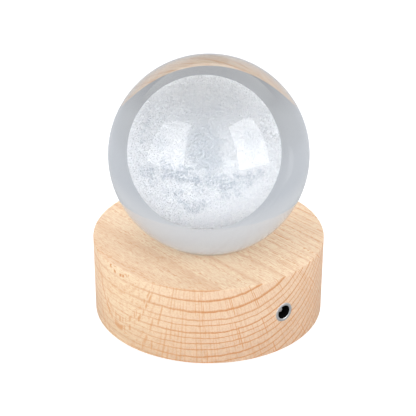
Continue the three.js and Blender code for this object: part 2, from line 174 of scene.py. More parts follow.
half = table_half_width
table = mesh_object(
    "table", [(-half, -half, 0), (half, -half, 0), (half, half, 0), (-half, half, 0)],
    [(0, 1, 2, 3)],
)
table_material, tree = blank_material("white table")
matt = put(tree, "ShaderNodeBsdfDiffuse", {"Color": table_white})
shade = put(tree, "ShaderNodeBsdfDiffuse", {"Color": (table_shade_share,) * 3 + (1.0,)})
glow = put(tree, "ShaderNodeEmission", {"Strength": table_glow})
seen_table = put(tree, "ShaderNodeAddShader", {0: shade.outputs[0], 1: glow.outputs[0]})
show(tree, put(tree, "ShaderNodeMixShader", {
    0: background_rays(tree), 1: matt.outputs[0], 2: seen_table.outputs[0],
}))
table.data.materials.append(table_material)


def round_the_tent(radius, step, height):
    """A point of the tent, by its step round the lamp."""
    turn = 2 * math.pi * step / tent_steps
    return (radius * math.cos(turn), radius * math.sin(turn), height)


tent_rises = [math.pi / 2 * row / tent_rows for row in range(tent_rows)]
tent_points = [
    round_the_tent(tent_radius * math.cos(rise), i, tent_radius * math.sin(rise))
    for rise in tent_rises for i in range(tent_steps)
] + [(0, 0, tent_radius)]
tent_faces = [
    (
        j * tent_steps + (i + 1) % tent_steps, j * tent_steps + i,
        (j + 1) * tent_steps + i, (j + 1) * tent_steps + (i + 1) % tent_steps,
    )
    for j in range(tent_rows - 1) for i in range(tent_steps)
]
top_row = (tent_rows - 1) * tent_steps
tent_faces += [
    (top_row + (i + 1) % tent_steps, top_row + i, len(tent_points) - 1) for i in range(tent_steps)
]
tent = mesh_object("grey tent", tent_points, tent_faces)
tent_material, tree = blank_material("tent cloth")
where = put(tree, "ShaderNodeTexCoord").outputs["Object"]
on_tent = put(tree, "ShaderNodeSeparateXYZ", {0: where}).outputs
rise = maths(tree, "DIVIDE", on_tent["Z"], tent_radius * MM, clamp=True)
to_camera = maths(tree, "DIVIDE", on_tent["Y"], -tent_radius * MM, clamp=True)
lighting = maths(tree, "MULTIPLY_ADD", to_camera, tent_light_in_front, maths(
    tree, "MULTIPLY_ADD", rise, tent_light_above, tent_light_round,
))
show(tree, put(tree, "ShaderNodeEmission", {
    "Color": paint(tree, tent_greys, rise), "Strength": tent_strength(tree, lighting),
}))
tent.data.materials.append(tent_material)

tent_floor = mesh_object(
    "grey tent floor",
    [round_the_tent(tent_floor_radius, i, tent_floor_lift) for i in range(tent_steps)],
    [tuple(range(tent_steps))],
)
floor_material, tree = blank_material("tent floor cloth")
where = put(tree, "ShaderNodeTexCoord").outputs["Object"]
reach = put(tree, "ShaderNodeVectorMath", {0: where}, operation="LENGTH").outputs["Value"]
depth = put(tree, "ShaderNodeSeparateXYZ", {0: where}).outputs["Y"]
to_camera = maths(tree, "MULTIPLY", maths(tree, "DIVIDE", depth, reach), -1.0, clamp=True)
lighting = maths(tree, "MULTIPLY_ADD", to_camera, floor_light_in_front, floor_light_round)
show(tree, put(tree, "ShaderNodeEmission", {
    "Color": paint(tree, tent_floor_greys_with_painted_shadow, reach), "Strength": tent_strength(tree, lighting),
}))
tent_floor.data.materials.append(floor_material)
for cloth_piece in (tent, tent_floor):
    cloth_piece.visible_camera = False
    cloth_piece.visible_diffuse = False
    cloth_piece.visible_shadow = False

world = bpy.data.worlds.new("studio room")
bpy.context.scene.world = world
world.use_nodes = True
tree = world.node_tree
tree.nodes.clear()
room = put(tree, "ShaderNodeBackground", {"Color": room_grey})
white = put(tree, "ShaderNodeBackground", {"Color": room_white})
put(tree, "ShaderNodeOutputWorld", {"Surface": put(tree, "ShaderNodeMixShader", {
    0: background_rays(tree), 1: room.outputs[0], 2: white.outputs[0],
}).outputs[0]})

# Two tall softboxes stand on either side of the camera. They light the lamp at a plain level,
# and show brighter where they are mirrored in the glass, as bare cloth does.
softboxes = {                            # radiance on the lamp, mirrored radiance, corners
    "softbox left": (2.82, 3.6, [
        (-1035, -275, 1280), (-450, -700, 1280), (-380, -745, 135), (-1030, -335, 110),
    ]),
    "softbox right": (2.62, 4.2, [
        (1000, -185, 1205), (505, -745, 1200), (490, -760, 150), (965, -370, 105),
    ]),
}
seen_through_glass = 0.87                # radiance of a softbox seen through the glass
inside_light = 2.05                      # and what it gives to what lies in the glass
for name, (radiance, mirrored, corners) in softboxes.items():
    panel = mesh_object(name, corners, [(0, 1, 2, 3)])
    panel_material, tree = blank_material(name + " cloth")
    path = put(tree, "ShaderNodeLightPath").outputs
    seen = maths(tree, "MULTIPLY", path["Is Glossy Ray"], mirrored - radiance)
    lit_inside = maths(tree, "MULTIPLY", lighting_in_glass(tree), inside_light - seen_through_glass)
    through = maths(tree, "MULTIPLY", path["Is Transmission Ray"], maths(
        tree, "ADD", lit_inside, seen_through_glass - radiance,
    ))
    show(tree, put(tree, "ShaderNodeEmission", {
        "Strength": maths(tree, "ADD", maths(tree, "ADD", seen, radiance), through),
    }))
    panel.data.materials.append(panel_material)
    panel.visible_camera = False
    panel.visible_shadow = False

overhead_distance, overhead_rise = 900.0, math.radians(58.0)
overhead_half_width, overhead_half_depth = 1500.0, 450.0
overhead_full_width = 500.0              # its cloth is evenly bright up to here, and then fades
overhead_radiance = 1.70
overhead_aim = Vector((0.0, 0.0, 69.2))  # the middle of the ball
overhead_out = Vector((0.0, math.cos(overhead_rise), math.sin(overhead_rise)))
wide, deep = overhead_half_width, overhead_half_depth
overhead = mesh_object(
    "softbox above",
    [(-wide, -deep, 0), (-wide, deep, 0), (wide, deep, 0), (wide, -deep, 0)],
    [(0, 1, 2, 3)],
    Matrix.Translation(overhead_aim + overhead_out * overhead_distance)
    @ overhead_out.to_track_quat("Z", "Y").to_matrix().to_4x4(),
)


def ramp(tree, value, low, high, first=0.0, last=1.0, smooth=False):
    """Goes from first to last while the value goes from low to high."""
    return put(tree, "ShaderNodeMapRange", {
        "Value": value, "From Min": low, "From Max": high, "To Min": first, "To Max": last,
    }, interpolation_type="SMOOTHSTEP" if smooth else "LINEAR").outputs[0]


overhead_material, tree = blank_material("softbox above cloth")
aside = maths(tree, "ABSOLUTE", put(tree, "ShaderNodeSeparateXYZ", {
    0: put(tree, "ShaderNodeTexCoord").outputs["Object"],
}).outputs["X"])
show(tree, put(tree, "ShaderNodeEmission", {"Strength": ramp(
    tree, aside, overhead_full_width * MM, overhead_half_width * MM, overhead_radiance, 0.0, True
)}))
overhead.data.materials.append(overhead_material)
overhead.visible_camera = False
overhead.visible_transmission = False
overhead.visible_shadow = False


# Beech base: one block turned on a lathe, with its grain lying across.
# Its top is dished to the ball's curve, and it is bored from below for the board and the jack.
ball_radius = 40.0
ball_sink = 5.5                          # how deep the ball stands in the dish
base_radius = 47.1
wood_bottom = 1.5                        # the feet stand out below it
wood_top = 34.7
base_edge_round = 0.35
cover_rebate_radius = 40.3
rebate_top = 3.5
pocket_radius = 33.0
pocket_ceiling = 24.7
seat_radius = 40.3                       # of the dish, just wider than the ball
light_well_radius = 11.0
window_recess_radius = 13.0
window_top = 28.4
turn_steps = 288                         # facets round the base
edge_steps, dish_steps = 4, 24
crease = math.radians(30.0)              # edges that turn more than this stay sharp
touching = 0.001                         # points nearer than this are one
jack_azimuth = math.radians(38.6)
jack_face_radius = 47.35
jack_height = 18.8
barrel_length = 7.5
jack_hole_radius = 4.05
jack_seat_radius = 5.8
cutter_overlap = 2.0                     # the drill's start, outside the wood
cutter_depth = 20.0

grain_azimuth = math.radians(-48)        # the fibres run almost towards the jack
pith_side = 36.0                         # the tree's centre, beside the base
pith_height = 87.0                       # and above the table
innermost_ring = 45.4                    # from the tree's centre to the first year in the block
year_widths = (
    3.7, 4.2, 4.5, 4.9, 3.7, 2.3, 3.4, 2.2, 2.6, 2.7, 3.4, 2.5, 2.4,
    2.9, 3.3, 2.4, 3.1, 2.6, 3.5, 2.8, 3.0, 2.5, 3.2, 3.6, 3.6,
)
ring_sway = 1.8                          # how far slow bends push the rings out of round
ring_waver = 0.8                         # and quick ones
late_wood_rise = (0.64, 0.84)            # the dark line of a year, as shares of its width
late_wood_fall = (0.88, 0.96)
faintest_year = 0.75
end_grain_range = (0.15, 0.75)           # from the face of a board to its end
line_on_face = 0.34                      # how strongly the years show on a face
bead_range = (0.38, 0.54)                # the end grain breaks the lines up into beads
faintest_bead = 0.78
vessel_range = (0.44, 0.60)
ray_reach = 75.0
ray_gap = 0.9                            # between two rays, at ray_reach from the tree's centre
ray_half_width = (0.08, 0.30)            # of the gap: fully dark, and faded out
ray_shift = 0.5                          # of the gap: how far rays stand out of step
ray_flecks = (0.43, 0.52)                # the part of a ray's noise that shows as flecks
fleck_height = 1.3                       # along the fibres
fleck_length = 12.0                      # and outwards
fleck_stride = 3.7                       # so that no ray has its neighbour's flecks
faintest_ray, darkest_ray = 0.22, 1.0
dark_ray_rarity = 3.0
shaded_years = (22.0, 40.0)              # outwards from the innermost ring, the wood turns darker
least_streak = 0.45

# Patterns in the log: waves per millimetre along the fibres and across them,
# and the part of their noise that shows.
slow_bends, quick_bends = (0.012, 0.05), (0.10, 0.35)
clouds, cloud_range = (0.02, 0.07), (0.35, 0.65)
streaks, streak_range = (0.02, 0.50), (0.40, 0.60)
pores, pore_range = (0.14, 2.6), (0.52, 0.70)
dashes, dash_range = (0.36, 3.6), (0.56, 0.65)
mottle_waves = (1.8, 1.1, 0.3)           # round the tree, outwards and along the fibres

pore_strength, dash_strength, line_strength = 0.30, 0.80, 0.95
pore_depth = 0.6                         # of a ring line's depth
relief_depth = 0.05
relief_strength = 0.25
wood_roughness = (0.45, 0.60)
wood_shine = 0.45
beech_pale = (0.920, 0.740, 0.500, 1.0)
beech_warm = (0.890, 0.690, 0.450, 1.0)
beech_end = (0.950, 0.888, 0.945, 1.0)   # multiplied on where the fibres end
# lighter and paler, laid on where the wood faces up: painted light on the top
beech_top_painted_light = (0.940, 0.748, 0.532, 1.0)
beech_shade = (0.880, 0.850, 0.840, 1.0)         # multiplied on in the outer years
beech_vessels = (0.930, 0.890, 0.860, 1.0)       # and on the end grain's vessels
beech_line = (0.640, 0.252, 0.070, 1.0)
beech_fleck = (0.690, 0.300, 0.100, 1.0)

jack_place = (
    Matrix.Translation((
        jack_face_radius * math.sin(jack_azimuth),
        -jack_face_radius * math.cos(jack_azimuth),
        jack_height,
    ))
    @ Matrix.Rotation(jack_azimuth, 4, "Z")
    @ Matrix.Rotation(math.pi / 2, 4, "X")
)


def shape_by(made, tree, values):
    """Gives an object a geometry tree, with its named inputs set before it is evaluated."""
    modifier = made.modifiers.new(tree.name, "NODES")
    modifier.node_group = tree
    for socket in tree.interface.items_tree:
        if socket.in_out == "INPUT" and socket.name in values:
            modifier[socket.identifier] = values[socket.name]


def geometry_tree(name, sockets):
    """An empty geometry tree with a geometry in and out, and its sized inputs."""
    tree = bpy.data.node_groups.new(name, "GeometryNodeTree")
    tree.interface.new_socket("Geometry", in_out="INPUT", socket_type="NodeSocketGeometry")
    for socket, kind in sockets.items():
        tree.interface.new_socket(socket, in_out="INPUT", socket_type="NodeSocket" + kind)
    tree.interface.new_socket("Geometry", in_out="OUTPUT", socket_type="NodeSocketGeometry")
    return tree, tree.nodes.new("NodeGroupInput").outputs


def finish_tree(tree, geometry, material):
    """Ends a tree: one plain mesh with its material."""
    plain = put(tree, "GeometryNodeRealizeInstances", {0: geometry})
    coated = put(tree, "GeometryNodeSetMaterial", {
        "Geometry": plain.outputs[0], "Material": material,
    })
    put(tree, "NodeGroupOutput", {0: coated.outputs[0]})


def apply_modifiers(made):
    """Turns what an object's modifiers make into its plain mesh, with its one material."""
    bpy.context.view_layer.update()
    evaluated = made.evaluated_get(bpy.context.evaluated_depsgraph_get())
    mesh = bpy.data.meshes.new_from_object(evaluated)
    made.modifiers.clear()
    made.data = mesh
    worn = next(m for m in mesh.materials if m)
    mesh.materials.clear()
    mesh.materials.append(worn)
    return mesh


def made_plain(made):
    """Applies the modifiers of a closed piece, and turns its faces outwards."""
    mesh = apply_modifiers(made)
    loose = bmesh.new()
    loose.from_mesh(mesh)
    bmesh.ops.remove_doubles(loose, verts=loose.verts, dist=touching * MM)
    bmesh.ops.recalc_face_normals(loose, faces=loose.faces)
    loose.to_mesh(mesh)
    loose.free()
    mesh.shade_smooth()
    mesh.set_sharp_from_angle(angle=crease)


lathe_tree, given = geometry_tree("lathe", {"Steps": "Int", "Material": "Material"})
row_count = put(lathe_tree, "GeometryNodeAttributeDomainSize", {0: given["Geometry"]}).outputs[0]
column_count = maths(lathe_tree, "ADD", given["Steps"], 1.0)
blank = put(lathe_tree, "GeometryNodeMeshGrid", {
    "Vertices X": column_count, "Vertices Y": row_count,
})
index = put(lathe_tree, "GeometryNodeInputIndex").outputs[0]
column = maths(lathe_tree, "FLOOR", maths(lathe_tree, "DIVIDE", index, row_count))
row = maths(lathe_tree, "MODULO", index, row_count)
outline = put(lathe_tree, "GeometryNodeSampleIndex", {
    "Geometry": given["Geometry"], "Index": row,
    "Value": put(lathe_tree, "GeometryNodeInputPosition").outputs[0],
}, data_type="FLOAT_VECTOR")
outline_radius, _, outline_height = put(lathe_tree, "ShaderNodeSeparateXYZ", {
    0: next(s for s in outline.outputs if s.enabled),
}).outputs
turned_by = maths(
    lathe_tree, "MULTIPLY", maths(lathe_tree, "DIVIDE", column, given["Steps"]), 2 * math.pi
)
round_place = put(lathe_tree, "ShaderNodeCombineXYZ", {
    0: maths(lathe_tree, "MULTIPLY", outline_radius, maths(lathe_tree, "COSINE", turned_by)),
    1: maths(lathe_tree, "MULTIPLY", outline_radius, maths(lathe_tree, "SINE", turned_by)),
    2: outline_height,
})
shaped = put(lathe_tree, "GeometryNodeSetPosition", {
    "Geometry": blank.outputs[0], "Position": round_place.outputs[0],
})
closed = put(lathe_tree, "GeometryNodeMergeByDistance", {
    "Geometry": shaped.outputs[0], "Distance": touching * MM,
})
finish_tree(lathe_tree, closed.outputs[0], given["Material"])


def turned(name, profile, material, place=Matrix.Identity(4), steps=96):
    """A piece turned on the lathe: a profile of radius and height, in millimetres."""
    made = mesh_object(name, [(radius, 0.0, height) for radius, height in profile], [])
    shape_by(made, lathe_tree, {"Steps": steps, "Material": material})
    made_plain(made)
    made.data.transform(Matrix.Translation(place.translation * MM) @ place.to_3x3().to_4x4())
    return made


def arc(middle_radius, middle_height, radius, start, end, steps):
    """Points of a profile on an arc, between two angles in degrees."""
    angles = [math.radians(start + (end - start) * i / steps) for i in range(steps + 1)]
    return [
        (middle_radius + radius * math.cos(a), middle_height + radius * math.sin(a))
        for a in angles
    ]


def product(tree, *values):
    """Several values multiplied."""
    result = values[0]
    for value in values[1:]:
        result = maths(tree, "MULTIPLY", result, value)
    return result


def noise(tree, place, scale, detail=3.0, roughness=0.55):
    return put(tree, "ShaderNodeTexNoise", {
        "Vector": place, "Scale": scale, "Detail": detail, "Roughness": roughness,
    }).outputs["Fac"]


def blend_colour(tree, factor, first, second, mode="MIX"):
    """Lays the second colour over the first, by a factor."""
    made = put(tree, "ShaderNodeMix", data_type="RGBA", blend_type=mode)
    colour_inputs = [s for s in made.inputs if s.type == "RGBA"]
    factor_input = next(s for s in made.inputs if s.type == "VALUE")
    for socket, value in zip([factor_input, *colour_inputs], (factor, first, second)):
        if isinstance(value, bpy.types.NodeSocket):
            tree.links.new(value, socket)
        else:
            socket.default_value = value
    return next(s for s in made.outputs if s.type == "RGBA")


beech, tree = blank_material("beech")
texture = put(tree, "ShaderNodeTexCoord").outputs
log = put(tree, "ShaderNodeMapping", {
    "Vector": texture["Object"],
    "Rotation": (0.0, 0.0, -grain_azimuth),
    "Scale": (1 / MM, 1 / MM, 1 / MM),
    "Location": (0.0, pith_side, -pith_height),
}).outputs[0]
along, across, upright = put(tree, "ShaderNodeSeparateXYZ", {0: log}).outputs
pith_distance = maths(
    tree, "SQRT", maths(tree, "ADD", product(tree, across, across), product(tree, upright, upright))
)
pith_angle = maths(tree, "ARCTAN2", across, maths(tree, "MULTIPLY", upright, -1.0))


def log_noise(tree, waves, detail, roughness=0.55):
    """Noise through the log, by its waves along the fibres and across them."""
    lengthwise, crosswise = waves
    place = put(tree, "ShaderNodeMapping", {
        "Vector": log, "Scale": (lengthwise, crosswise, crosswise),
    })
    return noise(tree, place.outputs[0], 1.0, detail, roughness)


def chance_of(tree, number, output):
    """A random value or colour for a whole number, always the same."""
    made = put(tree, "ShaderNodeTexWhiteNoise", {"W": number}, noise_dimensions="1D")
    return made.outputs[output]


# Years: the curve turns the distance from the innermost ring into a count of years,
# and the last part of each year is its dark line.
bend = maths(tree, "MULTIPLY_ADD", log_noise(tree, quick_bends, 2.0), ring_waver, maths(
    tree, "SUBTRACT", pith_distance, innermost_ring + (ring_sway + ring_waver) / 2,
))
from_innermost = maths(tree, "MULTIPLY_ADD", log_noise(tree, slow_bends, 2.0), ring_sway, bend)
block_depth = sum(year_widths)
growth = put(tree, "ShaderNodeFloatCurve", {
    "Value": maths(tree, "DIVIDE", from_innermost, block_depth),
})
growth_points = growth.mapping.curves[0].points
grown = 0.0
for year_count, width in enumerate(year_widths[:-1], 1):
    grown += width
    growth_points.new(grown / block_depth, year_count / len(year_widths))
for point in growth_points:
    point.handle_type = "VECTOR"
growth.mapping.update()
years = maths(tree, "MULTIPLY", growth.outputs[0], float(len(year_widths)))
season = maths(tree, "FRACT", years)
late_wood = product(
    tree, ramp(tree, season, *late_wood_rise, smooth=True),
    ramp(tree, season, *late_wood_fall, 1.0, 0.0, smooth=True),
)
year_weight = ramp(
    tree, chance_of(tree, maths(tree, "FLOOR", years), "Value"), 0.0, 1.0, faintest_year
)
fibre_direction = (math.cos(grain_azimuth), math.sin(grain_azimuth), 0.0)
end_grain = maths(tree, "ABSOLUTE", put(tree, "ShaderNodeVectorMath", {
    0: texture["Normal"], 1: fibre_direction,
}, operation="DOT_PRODUCT").outputs["Value"])
end_share = ramp(tree, end_grain, *end_grain_range, line_on_face)
end_place = put(tree, "ShaderNodeCombineXYZ", {
    0: maths(tree, "MULTIPLY", pith_angle, ray_reach * mottle_waves[0]),
    1: maths(tree, "MULTIPLY", pith_distance, mottle_waves[1]),
    2: maths(tree, "MULTIPLY", along, mottle_waves[2]),
}).outputs[0]
mottle = noise(tree, end_place, 1.0, 3.0, 0.7)
beads = ramp(tree, mottle, *bead_range, faintest_bead)
ring_line = product(tree, late_wood, year_weight, beads, end_share)

# Rays are thin sheets that stand on the fibres and point at the tree's centre.
# Pores are fine threads along the fibres, cut across into dashes on a face.
rays = maths(tree, "MULTIPLY", pith_angle, ray_reach / ray_gap)
ray_number = maths(tree, "FLOOR", rays)
ray_chance = put(tree, "ShaderNodeSeparateColor", {
    "Color": chance_of(tree, ray_number, "Color"),
}).outputs
off_ray = maths(tree, "ABSOLUTE", maths(
    tree, "SUBTRACT", maths(tree, "FRACT", rays),
    maths(tree, "MULTIPLY_ADD", ray_chance[0], ray_shift, (1.0 - ray_shift) / 2),
))
ray_sheet = ramp(tree, off_ray, *ray_half_width, 1.0, 0.0, smooth=True)
ray_place = put(tree, "ShaderNodeCombineXYZ", {
    0: maths(tree, "DIVIDE", along, fleck_height),
    1: maths(tree, "MULTIPLY", ray_number, fleck_stride),
    2: maths(tree, "DIVIDE", pith_distance, fleck_length),
}).outputs[0]
ray_extent = ramp(tree, noise(tree, ray_place, 1.0, 1.0), *ray_flecks)
ray_weight = maths(
    tree, "MULTIPLY_ADD", maths(tree, "POWER", ray_chance[1], dark_ray_rarity),
    darkest_ray - faintest_ray, faintest_ray,
)
ray = product(tree, ray_sheet, ray_extent, ray_weight)
pore_noise = log_noise(tree, pores, 2.0, 0.6)
pore_line = ramp(tree, pore_noise, *pore_range)
dash = product(
    tree, maths(tree, "SUBTRACT", 1.0, end_share),
    ramp(tree, log_noise(tree, dashes, 1.0), *dash_range),
)

# Tones: two of clean wood, then what the end grain and the years make of them, with a lighter,
# paler tone painted on the top as painted light.
tone = blend_colour(
    tree, ramp(tree, log_noise(tree, clouds, 3.0), *cloud_range), beech_pale, beech_warm
)
tone = blend_colour(tree, end_share, tone, beech_end, "MULTIPLY")
# Painted light: where the surface faces up, the top gets a lighter, paler tone.
facing_up = maths(tree, "MAXIMUM", put(tree, "ShaderNodeSeparateXYZ", {
    0: texture["Normal"],
}).outputs["Z"], 0.0)
tone = blend_colour(tree, facing_up, tone, beech_top_painted_light)
outer_years = product(
    tree, ramp(tree, log_noise(tree, streaks, 2.0), *streak_range, least_streak),
    ramp(tree, from_innermost, *shaded_years, smooth=True),
)
tone = blend_colour(tree, outer_years, tone, beech_shade, "MULTIPLY")
vessels = product(tree, ramp(tree, mottle, *vessel_range), end_share)
tone = blend_colour(tree, vessels, tone, beech_vessels, "MULTIPLY")
for pattern, strength, colour in (
    (pore_line, pore_strength, beech_line), (dash, dash_strength, beech_fleck),
    (ring_line, line_strength, beech_line), (ray, 1.0, beech_fleck),
):
    tone = blend_colour(tree, product(tree, pattern, strength), tone, colour)
relief = maths(tree, "SUBTRACT", product(tree, pore_line, -pore_depth), ring_line)
bump = put(tree, "ShaderNodeBump", {
    "Height": relief, "Strength": relief_strength, "Distance": relief_depth * MM,
})
show(tree, put(tree, "ShaderNodeBsdfPrincipled", {
    "Base Color": tone, "Roughness": ramp(tree, pore_noise, 0.0, 1.0, *wood_roughness),
    "Specular IOR Level": wood_shine, "Normal": bump.outputs[0],
}))

ball_centre = wood_top - ball_sink + ball_radius
seat_from = math.degrees(math.acos((ball_centre - wood_top) / seat_radius))
seat_to = math.degrees(math.asin(light_well_radius / seat_radius))
under_round, over_round = wood_bottom + base_edge_round, wood_top - base_edge_round
base_profile = [
    (cover_rebate_radius, wood_bottom),
    *arc(base_radius - base_edge_round, under_round, base_edge_round, -90, 0, edge_steps),
    *arc(base_radius - base_edge_round, over_round, base_edge_round, 0, 90, edge_steps),
    *arc(0.0, ball_centre, seat_radius, seat_from - 90, seat_to - 90, dish_steps),
    (light_well_radius, window_top),
    (window_recess_radius, window_top),
    (window_recess_radius, pocket_ceiling),
    (pocket_radius, pocket_ceiling),
    (pocket_radius, rebate_top),
    (cover_rebate_radius, rebate_top),
    (cover_rebate_radius, wood_bottom),
]
base = turned("turned_base", base_profile, beech, steps=turn_steps)
hole_cutter = turned("jack_hole_cutter", [
    (0.0, cutter_overlap), (jack_hole_radius, cutter_overlap),
    (jack_hole_radius, -barrel_length), (jack_seat_radius, -barrel_length),
    (jack_seat_radius, -cutter_depth), (0.0, -cutter_depth),
], beech, jack_place, steps=64)
cut = base.modifiers.new("jack hole", "BOOLEAN")
cut.operation = "DIFFERENCE"
cut.solver = "EXACT"
cut.object = hole_cutter
made_plain(base)
bpy.data.objects.remove(hole_cutter)
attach(base, "base")
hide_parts("wood_base")


# Crystal ball: optical glass, ground and polished to a sphere all over.
# Nothing holds it: it stands in the dish of the base by its own weight.
ball_ior = 1.517
ball_facets = 72                         # along each side of the cube that is blown up to a ball
veil_waves = 30.0                        # per metre, of the glass's faint unevenness
glass_greys = (0.768, 0.774, 0.777, 1.0), (0.777, 0.778, 0.780, 1.0)


def two_tones(tree, tones, factor):
    """Two tones that meet over the middle of a noise."""
    return paint(tree, list(zip((0.3, 0.7), tones)), factor)


crystal, tree = blank_material("crystal")
veil = noise(tree, put(tree, "ShaderNodeTexCoord").outputs["Object"], veil_waves)
show(tree, put(tree, "ShaderNodeBsdfPrincipled", {
    "Base Color": two_tones(tree, glass_greys, veil), "Roughness": 0.0, "IOR": ball_ior,
    "Transmission Weight": 1.0,
}))

ball_tree, given = geometry_tree("ground ball", {
    "Radius": "Float", "Facets": "Int", "Material": "Material",
})
corner_count = maths(ball_tree, "ADD", given["Facets"], 1.0)
rough_cube = put(ball_tree, "GeometryNodeMeshCube", {
    "Size": (2.0, 2.0, 2.0), "Vertices X": corner_count, "Vertices Y": corner_count,
    "Vertices Z": corner_count,
})
cube_place = put(ball_tree, "ShaderNodeSeparateXYZ", {
    0: put(ball_tree, "GeometryNodeInputPosition").outputs[0],
}).outputs
evened = put(ball_tree, "ShaderNodeCombineXYZ", {
    i: maths(ball_tree, "TANGENT", maths(ball_tree, "MULTIPLY", cube_place[i], math.pi / 4))
    for i in range(3)
}).outputs[0]
outward = put(ball_tree, "ShaderNodeVectorMath", {0: evened}, operation="NORMALIZE").outputs[0]
ground = put(ball_tree, "GeometryNodeSetPosition", {
    "Geometry": rough_cube.outputs["Mesh"],
    "Position": put(ball_tree, "ShaderNodeVectorMath", {
        0: outward, "Scale": given["Radius"],
    }, operation="SCALE").outputs[0],
})
finish_tree(ball_tree, ground.outputs[0], given["Material"])

ball = mesh_object("glass_ball", [(0.0, 0.0, 0.0)], [])
shape_by(ball, ball_tree, {
    "Radius": ball_radius * MM, "Facets": ball_facets, "Material": crystal,
})
made_plain(ball)
ball.data.transform(Matrix.Translation((0.0, 0.0, ball_centre * MM)))
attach(ball, "ball")
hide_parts("crystal_ball")


# Engraved moon: tiny white cracks that a laser leaves in the glass, in three thin round shells.
# They lie close together on the bright ground, and further apart in the seas.
moon_middle = Vector((-1.25, 0.0, ball_centre + 0.7))    # a little beside and above the ball's
moon_layers = {                          # radius, thickness, seed
    "engraved_moon_outer": (20.0, 0.5, 11),
    "engraved_moon_middle": (19.6, 0.5, 23),
    "engraved_moon_inner": (19.2, 0.5, 37),
}
crack_size = 0.205                       # from a crack's middle to a corner
crack_sizes = (0.6, 1.25)                # the smallest and the largest, as shares of that
crack_density = 38.0                     # per square millimetre, on the bright ground
sea_density = 0.75                       # of that, in the deepest sea
shore_raggedness = 0.55
shore_waves = 5.0                        # on a moon of radius 1
shore_inside, shore_outside = 0.5, 1.3   # where a sea is fully deep and where it ends, of its width
fleck_waves, fleck_range = 26.0, (0.42, 0.58)
shell_fineness = 6                       # how often the shell's faces are divided
ground_flecks = 0.24                     # how deep the flecks on the bright ground are
frost_waves = 260.0                      # per metre
ground_tones = (0.915, 0.918, 0.922, 1.0), (0.955, 0.952, 0.948, 1.0)
sea_tone = (0.50, 0.54, 0.58, 1.0)
broad_seas = [                           # right, up, width and depth, seen from the front
    (0.00, 0.46, 0.40, 0.24), (-0.36, 0.40, 0.28, 0.18), (0.41, 0.38, 0.28, 0.18),
    (0.00, 0.15, 0.32, 0.38), (-0.68, 0.16, 0.22, 0.34), (0.69, 0.20, 0.20, 0.32),
    (0.03, -0.13, 0.27, 0.44),
]
flecked_seas = [
    (-0.90, -0.31, 0.10, 0.80), (-0.79, -0.34, 0.13, 0.90), (-0.57, -0.33, 0.15, 1.00),
    (-0.35, -0.40, 0.15, 1.00), (-0.12, -0.50, 0.17, 1.00), (0.11, -0.45, 0.16, 0.90),
    (0.32, -0.52, 0.16, 1.00), (0.50, -0.45, 0.16, 1.00), (0.68, -0.42, 0.14, 0.90),
    (0.81, -0.33, 0.11, 0.80), (-0.81, -0.47, 0.10, 0.70), (-0.62, -0.60, 0.12, 0.70),
    (-0.41, -0.66, 0.12, 0.80), (-0.32, -0.78, 0.12, 1.00), (-0.17, -0.87, 0.11, 1.00),
    (-0.06, -0.82, 0.12, 0.90), (0.27, -0.68, 0.12, 0.70), (0.52, -0.64, 0.12, 0.70),
    (-0.91, 0.16, 0.10, 0.70), (-0.88, 0.34, 0.10, 0.70), (0.88, 0.28, 0.10, 0.60),
    (0.00, -0.06, 0.38, 0.60),
]

frost, tree = blank_material("engraved frost")
cloud = noise(tree, put(tree, "ShaderNodeTexCoord").outputs["Object"], frost_waves, 2.0)
sea_share = put(tree, "ShaderNodeAttribute", attribute_name="sea").outputs["Fac"]
frost_tone = blend_colour(tree, sea_share, two_tones(tree, ground_tones, cloud), sea_tone)
show(tree, put(tree, "ShaderNodeBsdfPrincipled", {
    "Base Color": frost_tone, "Roughness": 0.9, "Specular IOR Level": 0.0,
}))

moon_tree, given = geometry_tree("engraved moon", {
    "Radius": "Float", "Depth": "Float", "Crack size": "Float", "Density": "Float",
    "Sea density": "Float", "Seed": "Int", "Material": "Material",
})
shell = put(moon_tree, "GeometryNodeMeshIcoSphere", {
    "Radius": given["Radius"], "Subdivisions": shell_fineness,
})
here = put(moon_tree, "GeometryNodeInputPosition").outputs[0]
outwards = put(moon_tree, "ShaderNodeVectorMath", {0: here}, operation="NORMALIZE").outputs[0]
shore = put(moon_tree, "ShaderNodeVectorMath", {
    0: put(moon_tree, "ShaderNodeTexNoise", {
        "Vector": outwards, "Scale": shore_waves, "Detail": 5.0, "Roughness": 0.7,
    }).outputs["Color"],
    1: (0.5, 0.5, 0.5),
}, operation="SUBTRACT").outputs[0]
ragged = put(moon_tree, "ShaderNodeVectorMath", {
    0: shore, 1: (shore_raggedness,) * 3, 2: outwards,
}, operation="MULTIPLY_ADD").outputs[0]
to_front = Vector((0.0, -math.cos(camera_tilt), math.sin(camera_tilt)))
to_top = Vector((0.0, math.sin(camera_tilt), math.cos(camera_tilt)))


def depth_of(tree, place, seas):
    """How deep in the seas a place on the unit sphere is, from 0 on their shores to 1."""
    deepest = 0.0
    for right, up, width, depth in seas:
        sea_middle = (
            Vector((1.0, 0.0, 0.0)) * right + to_top * up
            + to_front * math.sqrt(1.0 - right ** 2 - up ** 2)
        )
        far = put(tree, "ShaderNodeVectorMath", {
            0: place, 1: sea_middle,
        }, operation="DISTANCE").outputs["Value"]
        in_sea = ramp(
            tree, far, width * shore_inside, width * shore_outside, depth, 0.0, smooth=True
        )
        deepest = maths(tree, "MAXIMUM", in_sea, deepest)
    return deepest


